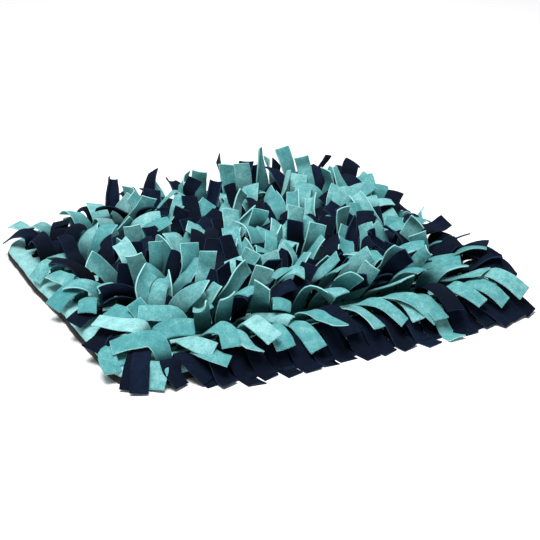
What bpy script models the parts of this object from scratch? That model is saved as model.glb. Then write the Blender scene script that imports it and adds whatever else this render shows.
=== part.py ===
"""Snuffle mat: a padded fleece mat with rows of cut fleece fringe sewn across its top.

A thin black non-slip panel lies on the floor. A soft aqua fleece pad is sewn to it round the rim. Across the
pad run rows of fringe, and each row is two bands laid side by side: an aqua one and a navy one. A band is a
narrow sewn root with flat fleece tails that stand up, lean and arch over each other. The front row's tails
fall over the edge and lie on the floor, and the second row's fall over them.

Frame: +X along the front edge, +Y to the back, +Z up, origin on the floor under the middle of the base.
"""

import math
import random

import bmesh
import bpy
from mathutils import Vector, noise
from mathutils.bvhtree import BVHTree

MM = 0.001

# The padded base.
BASE_WIDTH = 450 * MM
BASE_DEPTH = 400 * MM
CORNER_RADIUS = 38 * MM
EDGE_WAVE = 1.3 * MM
CORNER_STEPS = 10
SIDE_STEPS = 12
SEAM_GAP = 0.3 * MM
SEAM_Z = 5 * MM
PAD_TOP_Z = 15 * MM

# Each ring of a panel: how far in from the outline, and its height.
BACKING_RINGS = (
    {"inset": 3.2 * MM, "z": 0.0},
    {"inset": 0.8 * MM, "z": 2.4 * MM},
    {"inset": 0.0, "z": SEAM_Z},
)
PAD_RINGS = (
    {"inset": 0.2 * MM, "z": SEAM_Z + SEAM_GAP},
    {"inset": -0.6 * MM, "z": 8.0 * MM},
    {"inset": 0.9 * MM, "z": 11.6 * MM},
    {"inset": 4.2 * MM, "z": 14.1 * MM},
    {"inset": 9.0 * MM, "z": PAD_TOP_Z},
)

# The rows of fringe.
ROWS = 15
COLUMNS = 20
FIRST_ROW_Y = -BASE_DEPTH / 2 + 16 * MM
LAST_ROW_Y = BASE_DEPTH / 2 - 22 * MM
FIRST_TAIL_X = -BASE_WIDTH / 2 + 26 * MM
LAST_TAIL_X = BASE_WIDTH / 2 - 19 * MM
LAYER_OFFSET = {"aqua": -4 * MM, "navy": 4 * MM}
BAND_WIDTH = 5.4 * MM
BAND_HEIGHT = 2.4 * MM
BAND_Z = PAD_TOP_Z + SEAM_GAP
BAND_END = 9.5 * MM

# The tails.
TAIL_THICKNESS = 2.2 * MM
ROOT_WIDTH = 16 * MM
TAIL_WIDTH = 19.6 * MM
CLEARANCE = 0.2 * MM
SHORTEST_TAIL = 52 * MM
LONGEST_TAIL = 68 * MM
SPIN_REACH = 0.55
ROLL_REACH = 0.8
POST_HEIGHT = 13 * MM
TRIES = 400
LEAST_TURN_SHARE = 0.2  # cosine of the most that the width turns between two sections

# How tails stand in each part of the mat. The heading is where they lean to (0 is +X and 90 is +Y). Start
# and end are the lean from upright at the root and at the tip. All angles are in degrees.
FRONT_ROWS = (
    {"heading": -89, "start": 20, "end": 90, "spread": 4},
    {"heading": -82, "start": 20, "end": 90, "spread": 13},
    {"heading": -84, "start": 16, "end": 66, "spread": 42},
    {"heading": -80, "start": 10, "end": 50, "spread": 75},
)
FRONT_RIGHT = {"heading": -46, "start": 46, "end": 112, "spread": 22}
RIGHT_EDGE = {"heading": -18, "start": 38, "end": 98, "spread": 24}
LEFT_EDGE = {"heading": 232, "start": 26, "end": 142, "spread": 34}
BACK_EDGE = {"heading": 95, "start": 6, "end": 40, "spread": 30}
LOW_CORNER = {"heading": None, "start": 28, "end": 112, "spread": 90}
MIDDLE = {"heading": None, "start": 15, "end": 66, "spread": 85}
LOW_COLUMNS = 5
LOW_ROW = 9

# Most tails that don't lean far turn a face to the front left.
SHOWN_FACE = {"below": 80, "share": 0.66, "spin": -24, "spread": 32}

# The first two rows fall over the front edge. Each stop on their way: how far out it is, from the root or
# from the edge of the base, and how high. The last stop is further out on a longer tail.
FALL_STOPS = (
    (
        {"beyond": "root", "reach": 4, "z": 23.0, "last": False},
        {"beyond": "edge", "reach": 2, "z": 22.0, "last": False},
        {"beyond": "edge", "reach": 20, "z": 3.0, "last": False},
        {"beyond": "edge", "reach": 31, "z": 1.1, "last": True},
    ),
    (
        {"beyond": "root", "reach": 8, "z": 28.0, "last": False},
        {"beyond": "root", "reach": 26, "z": 33.0, "last": False},
        {"beyond": "edge", "reach": 3, "z": 29.0, "last": False},
        {"beyond": "edge", "reach": 14, "z": 21.0, "last": True},
    ),
)

# How far tails reach, unless they are placed by hand. Behind the low corner row, tails keep off the left
# margin.
REACH_X = (-BASE_WIDTH / 2 - 4 * MM, BASE_WIDTH / 2 + 27 * MM)
REACH_Y = (-BASE_DEPTH / 2 - 44 * MM, BASE_DEPTH / 2 + 22 * MM)
CORNER_REACH_X = -221 * MM
CORNER_ROW = 9

# How high the pile stands along the width: x and height, in millimetres.
CROWN = (
    (-225, 36),
    (-178, 46),
    (-150, 60),
    (-100, 62),
    (-60, 70),
    (0, 74),
    (60, 78),
    (100, 70),
    (130, 84),
    (170, 80),
    (200, 60),
    (225, 52),
    (252, 42),
)

# Tails stood by hand, with their length in millimetres. Spin turns the width to face another way as the
# tail leaves its root, and roll tips the face over along its length.
PLACED_COLUMNS = ("row", "column", "layer", "heading", "start", "end", "length", "spin", "roll")
PLACED_TAILS = (
    (5, 3, "navy", 186, 44, 96, 66, -84, -55),
    (4, 4, "aqua", -84, 0, 150, 68, 6, 0),
    (6, 3, "aqua", 180, 8, 22, 52, 0, 0),
    (7, 2, "aqua", 176, 22, 52, 54, 30, 0),
    (7, 4, "aqua", 30, 2, 8, 50, 4, 0),
    (9, 4, "aqua", 150, 2, 12, 50, -6, 0),
    (6, 5, "aqua", 20, 8, 16, 54, 20, 0),
    (3, 5, "aqua", 5, 30, 62, 66, 40, 30),
    (2, 6, "aqua", -56, 42, 108, 64, 34, 0),
    (4, 10, "aqua", 88, 0, 16, 58, 34, 0),
    (4, 12, "aqua", -14, 22, 44, 54, 12, 0),
    (7, 15, "navy", 180, 2, 10, 50, 4, 0),
    (6, 12, "aqua", -28, 4, 20, 54, -8, 0),
    (13, 6, "navy", 185, 20, 96, 66, -84, 0),
    (14, 14, "aqua", 80, 0, 14, 66, 8, 0),
)

# Tails laid by hand round the corners and the left side: three places on the way in millimetres, and how
# far the face tips from level towards the front left, in degrees.
LAID_COLUMNS = ("row", "column", "layer", "first", "second", "tip", "tilt")
LAID_TAILS = (
    (1, 0, "navy", (-192, -167, 26), (-203, -189, 20), (-215, -214, 3), 20),
    (0, 1, "aqua", (-181, -172, 35), (-202, -163, 34), (-221, -157, 28), 24),
    (2, 1, "aqua", (-184, -140, 36), (-200, -122, 34), (-216, -103, 30), 16),
    (3, 1, "aqua", (-177, -106, 33), (-186, -92, 33), (-192, -76, 31), 26),
    (2, 3, "aqua", (-144, -131, 38), (-160, -123, 40), (-175, -114, 38), 34),
    (1, 1, "aqua", (-172, -160, 33), (-155, -159, 38), (-135, -165, 37), 34),
    (0, 2, "navy", (-158, -194, 23), (-151, -207, 14), (-143, -219, 3), 6),
    (1, 2, "aqua", (-150, -178, 31), (-145, -194, 33), (-132, -206, 28), 26),
    (1, 3, "aqua", (-120, -176, 38), (-113, -194, 41), (-115, -210, 30), 22),
    (1, 5, "aqua", (-82, -178, 40), (-79, -199, 41), (-71, -217, 32), 30),
    (2, 0, "aqua", (-204, -141, 22), (-214, -155, 19.5), (-216, -174, 18), 4),
    (3, 0, "navy", (-203, -107, 25), (-217, -119, 21), (-234, -129, 16), 6),
    (5, 0, "navy", (-206, -57, 27), (-219, -67, 25), (-232, -75, 20), 15),
    (7, 0, "aqua", (-203, -8, 31), (-219, -14, 29), (-235, -19, 18), 28),
    (8, 0, "aqua", (-204, 10, 31), (-211, 26, 32), (-213, 43, 29), 20),
    (10, 0, "aqua", (-202, 64, 32), (-215, 60, 33), (-230, 58, 18), 10),
    (13, 0, "navy", (-201, 158, 30), (-211, 172, 28), (-220, 186, 17), 10),
    (0, 17, "navy", (168, -188, 23), (184, -212, 14), (196, -231, 3), 4),
    (1, 16, "aqua", (154, -178, 33), (160, -202, 34), (170, -217, 25), 26),
    (1, 17, "aqua", (177, -176, 32), (186, -202, 34), (199, -217, 21), 22),
    (1, 18, "aqua", (200, -175, 39), (210, -199, 39), (224, -214, 25), 22),
    (2, 19, "navy", (210, -148, 30), (220, -171, 28), (231, -187, 13), 14),
    (3, 19, "navy", (211, -110, 38), (225, -125, 40), (240, -138, 30), 24),
)
LAID_FACING = 244

# Where the navy layer comes to the top: the middle of each patch and its radius, in millimetres.
NAVY_PATCHES = (
    {"x": -200, "y": 110, "radius": 28},
    {"x": -166, "y": 45, "radius": 30},
    {"x": -150, "y": -60, "radius": 26},
    {"x": -200, "y": -100, "radius": 24},
    {"x": 195, "y": -140, "radius": 32},
    {"x": 172, "y": -70, "radius": 38},
    {"x": 113, "y": -34, "radius": 26},
    {"x": 7, "y": -72, "radius": 26},
    {"x": -58, "y": -65, "radius": 22},
    {"x": 36, "y": 54, "radius": 30},
    {"x": -55, "y": 7, "radius": 18},
    {"x": 106, "y": 134, "radius": 24},
    {"x": 162, "y": 150, "radius": 32},
    {"x": -61, "y": 175, "radius": 20},
    {"x": -110, "y": 180, "radius": 22},
    {"x": 54, "y": 180, "radius": 26},
)
NAVY_IN_PATCH = 0.88
NAVY_ELSEWHERE = 0.27
NAVY_NEAR_EDGE = 0.1
NAVY_IN_FRONT_ROW = 0.9
NAVY_IN_SECOND_ROW = 0.22
PALE_ROWS = 5


def tails_by_hand():
    """Every tail laid or stood by hand, by its row and column, in the order that they are placed."""
    found = {}
    for values in LAID_TAILS:
        found[values[:2]] = dict(zip(LAID_COLUMNS, values)) | {"skew": 0.0, "falls": False}
    for values in PLACED_TAILS:
        tail = dict(zip(PLACED_COLUMNS, values))
        found[values[:2]] = tail | {"length": tail["length"] * MM, "skew": 0.0, "falls": False}
    return found


BY_HAND = tails_by_hand()


def outline(inset):
    """The base's rounded, slightly wavy rectangle, anticlockwise from the front left, moved in by inset."""
    radius = CORNER_RADIUS - inset
    reach_x = BASE_WIDTH / 2 - CORNER_RADIUS
    reach_y = BASE_DEPTH / 2 - CORNER_RADIUS
    corners = [(-reach_x, -reach_y, 180), (reach_x, -reach_y, 270)]
    corners += [(reach_x, reach_y, 0), (-reach_x, reach_y, 90)]
    points = []
    for number, (x, y, start) in enumerate(corners):
        for step in range(CORNER_STEPS + 1):
            angle = math.radians(start + 90 * step / CORNER_STEPS)
            points.append(Vector((x + radius * math.cos(angle), y + radius * math.sin(angle))))
        next_x, next_y, next_start = corners[(number + 1) % len(corners)]
        angle = math.radians(next_start)
        begin = points[-1]
        end = Vector((next_x + radius * math.cos(angle), next_y + radius * math.sin(angle)))
        points += [begin.lerp(end, step / SIDE_STEPS) for step in range(1, SIDE_STEPS)]
    for point in points:
        turn = math.atan2(point.y, point.x)
        wave = math.sin(7 * turn + 0.6) + 0.6 * math.sin(13 * turn + 2.1)
        point += point.normalized() * EDGE_WAVE * wave
    return points


def add_object(name, mesh, material):
    mesh.materials.append(material)
    piece = bpy.data.objects.new(name, mesh)
    bpy.context.scene.collection.objects.link(piece)
    return piece


def make_panel(name, rings, material):
    """A flat cushion-like solid through its rings, closed by a flat face below and above."""
    shell = bmesh.new()
    loops = [[shell.verts.new((*point, ring["z"])) for point in outline(ring["inset"])] for ring in rings]
    for lower, upper in zip(loops, loops[1:]):
        for i in range(len(lower)):
            j = (i + 1) % len(lower)
            shell.faces.new((lower[i], lower[j], upper[j], upper[i]))
    shell.faces.new(reversed(loops[0]))
    shell.faces.new(loops[-1])
    mesh = bpy.data.meshes.new(name)
    shell.to_mesh(mesh)
    shell.free()
    mesh.shade_smooth()
    mesh.set_sharp_from_angle(angle=math.radians(40))
    return add_object(name, mesh, material)


def row_y(row):
    return FIRST_ROW_Y + (LAST_ROW_Y - FIRST_ROW_Y) * row / (ROWS - 1)


def column_x(column, row):
    if row == 1:
        # The second row's tails lie between the first's.
        column += 0.5
    return FIRST_TAIL_X + (LAST_TAIL_X - FIRST_TAIL_X) * column / (COLUMNS - 1)


def flat_top_reach(y):
    """How far the pad's flat top runs to either side of the middle at this y."""
    straight = BASE_DEPTH / 2 - CORNER_RADIUS
    radius = CORNER_RADIUS - PAD_RINGS[-1]["inset"]
    past = max(0.0, abs(y) - straight)
    return BASE_WIDTH / 2 - CORNER_RADIUS + math.sqrt(max(0.0, radius**2 - past**2))


def row_columns(row):
    """The columns whose roots lie on the pad's flat top in this row."""
    furthest = max(abs(row_y(row) + offset) for offset in LAYER_OFFSET.values()) + BAND_WIDTH / 2
    reach = flat_top_reach(furthest)
    return [c for c in range(COLUMNS) if abs(column_x(c, row)) + BAND_END <= reach]


def layer_of(row, column, draw):
    """Which of the row's two bands this tail is cut from."""
    if (row, column) in BY_HAND:
        return BY_HAND[row, column]["layer"]
    if row == 0:
        return "navy" if draw < NAVY_IN_FRONT_ROW else "aqua"
    if row == 1:
        return "navy" if draw < NAVY_IN_SECOND_ROW else "aqua"
    x, y = column_x(column, row) / MM, row_y(row) / MM
    share = NAVY_NEAR_EDGE if row < PALE_ROWS or column <= 1 else NAVY_ELSEWHERE
    if any(math.hypot(x - p["x"], y - p["y"]) < p["radius"] for p in NAVY_PATCHES):
        share = NAVY_IN_PATCH
    return "navy" if draw < share else "aqua"


def usual_stance(row, column):
    """How tails mostly stand at this place on the mat."""
    if len(FALL_STOPS) <= row < len(FRONT_ROWS) and column >= COLUMNS - 4:
        return FRONT_RIGHT
    if row < len(FRONT_ROWS):
        return FRONT_ROWS[row]
    if column >= COLUMNS - 2:
        return RIGHT_EDGE
    if column <= 1:
        return LEFT_EDGE
    if column < LOW_COLUMNS and row >= LOW_ROW:
        return LOW_CORNER
    if row >= ROWS - 2:
        return BACK_EDGE
    return MIDDLE


def choose_tail(row, column, attempt, dice):
    """One way for a tail to stand. Later attempts stray further from what is usual there."""
    usual = usual_stance(row, column)
    stray = 0.6 + min(attempt / 60, 1.6)
    if usual["heading"] is None:
        drift = noise.noise(Vector((column * 0.33, row * 0.4, 3.7)))
        heading = 400 * drift + dice.gauss(0, usual["spread"]) * stray
    else:
        heading = usual["heading"] + dice.gauss(0, usual["spread"]) * stray
    start = max(0, usual["start"] + dice.gauss(0, 10) * stray)
    end = usual["end"] + dice.gauss(0, 24) * stray
    end = min(max(end, start - 10), start + 150)
    if row < len(FALL_STOPS):
        corner_pull = 26 * max(0, column - (COLUMNS - 4)) / 3
        heading = min(max(heading + corner_pull, -122), -50)
    spin = (heading + 90 + dice.gauss(0, 12) + 90) % 180 - 90
    if row >= len(FALL_STOPS) and end < SHOWN_FACE["below"] and dice.random() < SHOWN_FACE["share"]:
        spin = SHOWN_FACE["spin"] + dice.gauss(0, SHOWN_FACE["spread"])
    shorter = 1 - 0.5 * max(0, attempt - 150) / TRIES
    # A second-row tail that finds no room is tried higher up, over its neighbours.
    over = max(-3.0, dice.gauss(0, 2.5)) + 2.6 * (attempt // 20 % 5) if row == 1 else 0.0
    return {
        "row": row,
        "falls": row < len(FALL_STOPS),
        "over": over,
        "heading": heading,
        "start": start,
        "end": end,
        "length": dice.uniform(SHORTEST_TAIL, LONGEST_TAIL) * shorter,
        "spin": spin,
        "roll": dice.gauss(0, 16) * min(stray, 1.4),
        "skew": dice.gauss(0, 1.4) * MM,
    }


def lean_vector(heading, lean):
    heading, lean = math.radians(heading), math.radians(lean)
    return Vector((math.sin(lean) * math.cos(heading), math.sin(lean) * math.sin(heading), math.cos(lean)))


def arching_line(root, tail):
    """Points up the middle of a tail that stands, leans or arches over, and the way it runs at each."""
    turning = abs(tail["end"] - tail["start"]) + abs(tail["spin"]) * 0.5
    parts = 2 if turning < 40 else 3 if turning < 85 else 4
    line = [(root, lean_vector(tail["heading"], tail["start"] * 0.5), 0.0)]
    for part in range(parts):
        middle, share = (part + 0.5) / parts, (part + 1) / parts
        step = lean_vector(tail["heading"], tail["start"] + (tail["end"] - tail["start"]) * middle)
        along = lean_vector(tail["heading"], tail["start"] + (tail["end"] - tail["start"]) * share)
        line.append((line[-1][0] + step * tail["length"] / parts, along, share))
    return line


def falling_line(root, tail):
    """Points along a tail that goes over the front edge. The first row's ends lie level on the floor."""
    out = lean_vector(tail["heading"], 90)
    out /= abs(out.y)
    to_edge = root.y + BASE_DEPTH / 2
    spare = (tail["length"] - SHORTEST_TAIL) * 0.8
    places = [root]
    for stop in FALL_STOPS[tail["row"]]:
        reach = stop["reach"] * MM + (to_edge if stop["beyond"] == "edge" else 0)
        reach += spare if stop["last"] else 0
        place = root + out * reach
        place.z = (stop["z"] + tail["over"]) * MM
        places.append(place)
    line = [(root, Vector((0, 0, 1)), 0.0)]
    for i in (1, 2, 3):
        line.append((places[i], (places[i + 1] - places[i - 1]).normalized(), i / 4))
    along = Vector((out.x, out.y, 0)) if tail["row"] == 0 else places[4] - places[3]
    line.append((places[4], along.normalized(), 1.0))
    return line


def laid_line(root, tail):
    """Points along a tail laid by hand."""
    places = [root] + [Vector(tail[stop]) * MM for stop in ("first", "second", "tip")]
    line = [(root, Vector((0, 0, 1)), 0.0)]
    for i in (1, 2):
        line.append((places[i], (places[i + 1] - places[i - 1]).normalized(), i / 3))
    line.append((places[3], (places[3] - places[2]).normalized(), 1.0))
    return line


def line_of(root, tail):
    if "tip" in tail:
        return laid_line(root, tail)
    return falling_line(root, tail) if tail["falls"] else arching_line(root, tail)


def frame_at(tail, along, share, last):
    """Which way the tail's width and thickness point at a share of its length. Last is its way at the tip."""
    if "tip" in tail:
        face = lean_vector(LAID_FACING, tail["tilt"])
        turned = along.cross(face).normalized() * math.copysign(1, last.cross(face).x)
        weight = min(share / 0.5, 1)
        across = Vector((1, 0, 0)) * (1 - weight) + turned * weight
        roll = 0
    else:
        angle = math.radians(tail["spin"] * min(share / SPIN_REACH, 1))
        across = Vector((math.cos(angle), math.sin(angle), 0))
        roll = 0 if tail["falls"] else math.radians(tail["roll"]) * min(share / ROLL_REACH, 1)
    across = (across - along * across.dot(along)).normalized()
    rolled = across * math.cos(roll) + across.cross(along) * math.sin(roll)
    return rolled, rolled.cross(along)


def tail_sections(root, tail, grow=0.0):
    """The four corners of the tail's cross-section at each station, from the root up."""
    line = line_of(root, tail)
    sections = []
    for place, along, share in line:
        across, through = frame_at(tail, Vector((0, 0, 1)) if share == 0 else along, share, line[-1][1])
        half = (ROOT_WIDTH if share == 0 else TAIL_WIDTH) / 2 + grow
        thick = TAIL_THICKNESS / 2 + grow
        slant = along * (tail["skew"] if share == 1 else 0)
        sections.append(
            (
                place - across * half + through * thick - slant,
                place + across * half + through * thick + slant,
                place + across * half - through * thick + slant,
                place - across * half - through * thick - slant,
            )
        )
    return sections


def side_triangles(count):
    """Corner numbers of the triangles round a tail, with the same diagonal on its two broad faces."""
    found = []
    for station in range(count - 1):
        low, high = station * 4, station * 4 + 4
        a, b, c, d = range(4)
        found += [(low + a, low + b, high + b), (low + a, high + b, high + a)]
        found += [(low + b, low + c, high + c), (low + b, high + c, high + b)]
        found += [(low + c, low + d, high + c), (low + d, high + d, high + c)]
        found += [(low + d, low + a, high + a), (low + d, high + a, high + d)]
    top = (count - 1) * 4
    found += [(top + a, top + b, top + c), (top + a, top + c, top + d)]
    return found


def tree_of(points, triangles):
    return BVHTree.FromPolygons(points, triangles, all_triangles=True)


def box_of(points):
    low = [min(p[k] for p in points) for k in range(3)]
    high = [max(p[k] for p in points) for k in range(3)]
    return low, high


def boxes_meet(first, second):
    return all(first[0][k] <= second[1][k] and second[0][k] <= first[1][k] for k in range(3))


def block_obstacle(low, high):
    """A box with these corners, as something a tail must clear."""
    points = [Vector((x, y, z)) for x in (low.x, high.x) for y in (low.y, high.y) for z in (low.z, high.z)]
    quads = ((0, 1, 3, 2), (4, 6, 7, 5), (0, 4, 5, 1), (2, 3, 7, 6), (0, 2, 6, 4), (1, 5, 7, 3))
    triangles = [(q[0], q[1], q[2]) for q in quads] + [(q[0], q[2], q[3]) for q in quads]
    return {"box": box_of(points), "tree": tree_of(points, triangles)}


def object_obstacle(piece):
    points = [vertex.co.copy() for vertex in piece.data.vertices]
    faces = [tuple(face.vertices) for face in piece.data.polygons]
    return {"box": box_of(points), "tree": BVHTree.FromPolygons(points, faces)}


def is_clear(points, triangles, obstacles):
    if min(p.z for p in points) < -CLEARANCE - 1e-6:
        return False
    box, tree = box_of(points), None
    for obstacle in obstacles:
        if not boxes_meet(box, obstacle["box"]):
            continue
        tree = tree or tree_of(points, triangles)
        if tree.overlap(obstacle["tree"]):
            return False
    return True


def crown_height(x):
    """How high tails may reach at this x, on straight lines between the places in the table."""
    x = min(max(x / MM, CROWN[0][0]), CROWN[-1][0])
    for (start, start_height), (end, end_height) in zip(CROWN, CROWN[1:]):
        if x <= end:
            return (start_height + (end_height - start_height) * (x - start) / (end - start)) * MM


def is_in_reach(points, row):
    """Whether a tail keeps to the mat's outline."""
    low_x = CORNER_REACH_X if row >= CORNER_ROW else REACH_X[0]
    for p in points:
        if not (low_x <= p.x <= REACH_X[1] and REACH_Y[0] <= p.y <= REACH_Y[1]):
            return False
        if p.z > crown_height(p.x):
            return False
    return True


def is_twisted(points):
    """Whether the width turns too far from one section to the next, which would pinch the tail."""
    widths = [(points[i + 1] - points[i]).normalized() for i in range(0, len(points), 4)]
    return any(first.dot(second) < LEAST_TURN_SHARE for first, second in zip(widths, widths[1:]))


def list_roots():
    """Every tail's place, colour and seeded dice: those placed by hand, then the rest from the front back."""
    roots = []
    for row in range(ROWS):
        for column in row_columns(row):
            dice = random.Random(1000 * row + column)
            layer = layer_of(row, column, dice.random())
            place = Vector((column_x(column, row), row_y(row) + LAYER_OFFSET[layer], BAND_Z + BAND_HEIGHT))
            roots.append({"row": row, "column": column, "layer": layer, "place": place, "dice": dice})
    order = {place: number for number, place in enumerate(BY_HAND)}
    return sorted(roots, key=lambda root: order.get((root["row"], root["column"]), len(order)))


def place_tails(obstacles):
    """Stands every tail clear of the base, the bands and the other tails: {(row, layer): [tail, ...]}."""
    bands = {(row, layer): [] for row in range(ROWS) for layer in LAYER_OFFSET}
    roots = list_roots()
    half_post = Vector((ROOT_WIDTH / 2, TAIL_THICKNESS / 2, 0))
    for root in roots:
        base = root["place"] + Vector((0, 0, 2 * CLEARANCE))
        root["post"] = block_obstacle(base - half_post, base + half_post + Vector((0, 0, POST_HEIGHT)))
    for number, root in enumerate(roots):
        posts = [later["post"] for later in roots[number + 1 :]]
        known = BY_HAND.get((root["row"], root["column"]))
        for attempt in range(TRIES):
            given = known if attempt == 0 else None
            tail = given or choose_tail(root["row"], root["column"], attempt, root["dice"])
            sections = tail_sections(root["place"], tail, CLEARANCE)
            shell = [corner.copy() for section in sections for corner in section]
            # The grown root would touch its own band, so it starts just above it.
            for corner in shell[:4]:
                corner.z += 2 * CLEARANCE
            if not given and (not is_in_reach(shell, root["row"]) or is_twisted(shell)):
                continue
            triangles = side_triangles(len(sections))
            # A tail placed by hand may lie over roots that have no tail yet.
            if is_clear(shell, triangles, obstacles) and (given or is_clear(shell, triangles, posts)):
                obstacles.append({"box": box_of(shell), "tree": tree_of(shell, triangles)})
                bands[root["row"], root["layer"]].append(tail | {"root": root["place"]})
                break
        else:
            print("no room for a tail at row", root["row"], "column", root["column"])
    return bands


def band_span(row):
    columns = row_columns(row)
    return column_x(columns[0], row) - BAND_END, column_x(columns[-1], row) + BAND_END


def make_band(name, row, layer, tails, material):
    """A sewn root along the row, with its tails growing out of the top face."""
    middle_y = row_y(row) + LAYER_OFFSET[layer]
    start_x = min(tail["root"].x for tail in tails) - BAND_END
    end_x = max(tail["root"].x for tail in tails) + BAND_END
    low_z, high_z = BAND_Z, BAND_Z + BAND_HEIGHT
    half_band, half_tail = BAND_WIDTH / 2, TAIL_THICKNESS / 2
    rails = [middle_y + offset for offset in (-half_band, -half_tail, half_tail, half_band)]
    shell = bmesh.new()

    def corner(x, y, z):
        return shell.verts.new((x, y, z))

    bottom = [corner(start_x, rails[0], low_z), corner(end_x, rails[0], low_z)]
    bottom += [corner(end_x, rails[3], low_z), corner(start_x, rails[3], low_z)]
    front = [corner(start_x, rails[0], high_z), corner(end_x, rails[0], high_z)]
    back = [corner(start_x, rails[3], high_z), corner(end_x, rails[3], high_z)]
    near, far = [corner(start_x, rails[1], high_z)], [corner(start_x, rails[2], high_z)]
    for tail in sorted(tails, key=lambda tail: tail["root"].x):
        sections = tail_sections(tail["root"], tail)
        shell_corners = [corner(*point) for section in sections for point in section]
        for triangle in side_triangles(len(sections)):
            shell.faces.new([shell_corners[i] for i in triangle])
        a, b, c, d = shell_corners[:4]
        shell.faces.new((near[-1], a, d, far[-1]))
        near += [a, b]
        far += [d, c]
    near.append(corner(end_x, rails[1], high_z))
    far.append(corner(end_x, rails[2], high_z))
    shell.faces.new((near[-2], near[-1], far[-1], far[-2]))
    shell.faces.new([front[0], front[1], *reversed(near)])
    shell.faces.new([*far, back[1], back[0]])
    shell.faces.new((bottom[3], bottom[2], bottom[1], bottom[0]))
    shell.faces.new((bottom[0], bottom[1], front[1], front[0]))
    shell.faces.new((bottom[2], bottom[3], back[0], back[1]))
    shell.faces.new((bottom[1], bottom[2], back[1], far[-1], near[-1], front[1]))
    shell.faces.new((bottom[3], bottom[0], front[0], near[0], far[0], back[0]))
    mesh = bpy.data.meshes.new(name)
    shell.to_mesh(mesh)
    shell.free()
    return add_object(name, mesh, material)


def make_material(name, colour, roughness):
    material = bpy.data.materials.new(name)
    material.use_nodes = True
    shader = material.node_tree.nodes["Principled BSDF"]
    shader.inputs["Base Color"].default_value = (*colour, 1)
    shader.inputs["Roughness"].default_value = roughness
    shader.inputs["Metallic"].default_value = 0
    return material


def main():
    for piece in list(bpy.data.objects):
        bpy.data.objects.remove(piece)
    black = make_material("non_slip_fabric", (0.012, 0.012, 0.014), 0.8)
    fleece = {
        "aqua": make_material("aqua_fleece", (0.19, 0.47, 0.49), 0.95),
        "navy": make_material("navy_fleece", (0.010, 0.013, 0.028), 0.95),
    }
    make_panel("backing_panel", BACKING_RINGS, black)
    pad = make_panel("fleece_pad", PAD_RINGS, fleece["aqua"])
    obstacles = [object_obstacle(pad)]
    for row in range(ROWS):
        start_x, end_x = band_span(row)
        for offset in LAYER_OFFSET.values():
            low = Vector((start_x, row_y(row) + offset - BAND_WIDTH / 2, BAND_Z))
            high = Vector((end_x, row_y(row) + offset + BAND_WIDTH / 2, BAND_Z + BAND_HEIGHT))
            obstacles.append(block_obstacle(low, high))
    for (row, layer), tails in place_tails(obstacles).items():
        make_band(f"fringe_{row + 1:02d}_{layer}", row, layer, tails, fleece[layer])


main()
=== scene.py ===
import math
import random

import bpy
import numpy as np
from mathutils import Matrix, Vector, noise
from mathutils.bvhtree import BVHTree


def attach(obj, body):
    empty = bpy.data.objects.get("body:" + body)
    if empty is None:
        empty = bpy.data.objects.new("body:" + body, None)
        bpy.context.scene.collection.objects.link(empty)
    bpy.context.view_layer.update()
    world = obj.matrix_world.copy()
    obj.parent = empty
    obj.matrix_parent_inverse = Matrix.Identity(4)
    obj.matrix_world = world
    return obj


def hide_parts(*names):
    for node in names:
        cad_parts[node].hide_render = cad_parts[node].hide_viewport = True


# Padded fleece snuffle mat: black non-slip underside, soft aqua pad, and 15 rows of cut fleece fringe,
# each row one aqua and one navy band. Metres; +X along the front edge, +Y to the back, +Z up.

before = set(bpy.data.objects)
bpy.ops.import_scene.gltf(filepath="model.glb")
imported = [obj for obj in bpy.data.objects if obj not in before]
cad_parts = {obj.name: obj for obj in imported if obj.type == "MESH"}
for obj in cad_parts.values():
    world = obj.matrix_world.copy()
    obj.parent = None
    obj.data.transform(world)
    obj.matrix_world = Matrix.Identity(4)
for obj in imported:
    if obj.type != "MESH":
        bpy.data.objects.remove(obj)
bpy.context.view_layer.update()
mm = 0.001


# camera, floor and light
cameraSet = {"lens": 113.33, "azimuth": -25.4686, "elevation": 23.02, "distance": 1.92383,
             "target": (0.03294, 0.013, 0.0), "clip": (0.05, 30)}
studio = {"floorSize": 7.0, "floor": "#fbfbfb", "floorSpecular": 0.1, "sky": 0.3,
          "lampTarget": (0.0, 0.0, 0.03),
          "key": {"power": 56.0, "place": (-0.4, -0.4, 1.9), "size": 1.0},
          "back": {"power": 7.0, "place": (0.7, 1.3, 1.4), "size": 0.9}}


def toLinear(hexColour):
    shares = [int(hexColour[i:i + 2], 16) / 255 for i in (1, 3, 5)]
    return tuple(s / 12.92 if s <= 0.04045 else ((s + 0.055) / 1.055) ** 2.4 for s in shares) + (1.0,)


def aim(thing, way):
    # turns a camera or a lamp to look along a direction
    thing.rotation_mode = "QUATERNION"
    thing.rotation_quaternion = way.to_track_quat("-Z", "Y")


def addCamera():
    azimuth, elevation = math.radians(cameraSet["azimuth"]), math.radians(cameraSet["elevation"])
    level = math.cos(elevation)
    back = Vector((math.sin(azimuth) * level, -math.cos(azimuth) * level, math.sin(elevation)))
    bpy.ops.object.camera_add(location=Vector(cameraSet["target"]) + back * cameraSet["distance"])
    camera = bpy.context.object
    aim(camera, -back)
    camera.data.lens = cameraSet["lens"]
    camera.data.clip_start, camera.data.clip_end = cameraSet["clip"]
    bpy.context.scene.camera = camera


def addNode(tree, kind, inputs=None, links=None, **settings):
    node = tree.nodes.new(kind)
    for key, value in settings.items():
        setattr(node, key, value)
    for socket, value in (inputs or {}).items():
        node.inputs[socket].default_value = value
    for socket, source in (links or {}).items():
        tree.links.new(source, node.inputs[socket])
    return node


def newMaterial(name, values):
    material = bpy.data.materials.new(name)
    material.use_nodes = True
    shader = material.node_tree.nodes["Principled BSDF"]
    for socket, value in values.items():
        shader.inputs[socket].default_value = value
    return material, material.node_tree, shader


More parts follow.
